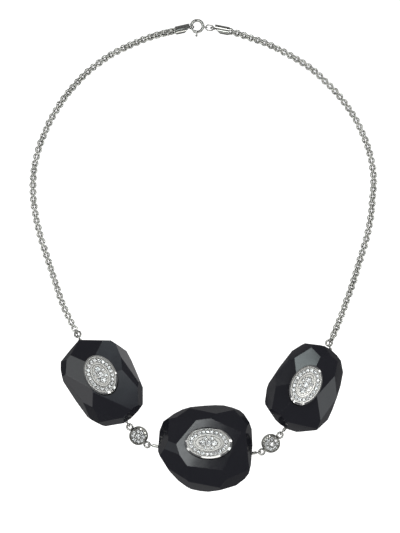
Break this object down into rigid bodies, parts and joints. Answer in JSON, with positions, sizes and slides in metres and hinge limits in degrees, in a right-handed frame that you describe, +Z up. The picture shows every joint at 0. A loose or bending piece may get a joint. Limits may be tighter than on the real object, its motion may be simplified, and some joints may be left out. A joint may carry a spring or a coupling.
{
  "type": "gemstone necklace",
  "caption": "Short necklace of large faceted black stones with stone-set oval centres, joined by small round clusters, on a fine metal chain with a spring ring clasp.",
  "frame": {"origin": "middle of the necklace's length and width, on the surface that it lies on", "axes": "+X to the right as seen from above, +Y from the large stones toward the clasp, +Z up from the surface, out of the stones' fronts"},
  "size_m": [0.1317, 0.1797, 0.012],
  "materials": {
    "onyx": "polished",
    "white_metal": "polished",
    "clear_stones": "polished"
  },
  "bodies": {
    "necklace": {"onyx_left": "onyx", "onyx_centre": "onyx", "onyx_right": "onyx", "setting_left": "white_metal", "setting_centre": "white_metal", "setting_right": "white_metal", "border_stones_left": "clear_stones", "border_stones_centre": "clear_stones", "border_stones_right": "clear_stones", "field_stones_left": "clear_stones", "field_stones_centre": "clear_stones", "field_stones_right": "clear_stones", "cluster_left": "white_metal", "cluster_right": "white_metal", "cluster_stones_left": "clear_stones", "cluster_stones_right": "clear_stones", "peg_left_top": "white_metal", "peg_left_low": "white_metal", "peg_centre_left": "white_metal", "peg_centre_right": "white_metal", "peg_right_low": "white_metal", "peg_right_top": "white_metal", "jump_ring_left": "white_metal", "jump_ring_right": "white_metal", "chain_left": "white_metal", "chain_right": "white_metal", "end_cap_left": "white_metal", "end_cap_right": "white_metal", "clasp_link": "white_metal", "clasp_ring": "white_metal"},
    "bolt": {"clasp_bolt": "white_metal"}
  },
  "joints": [
    {"name": "clasp_open", "type": "hinge", "parent": "necklace", "child": "bolt", "pos_m": [-0.0024, 0.0872, 0.001], "axis": [0, 0, 1], "range_deg": [0, 63], "stiffness_Nm_per_rad": 0.002, "springref_deg": -22.92}
  ]
}
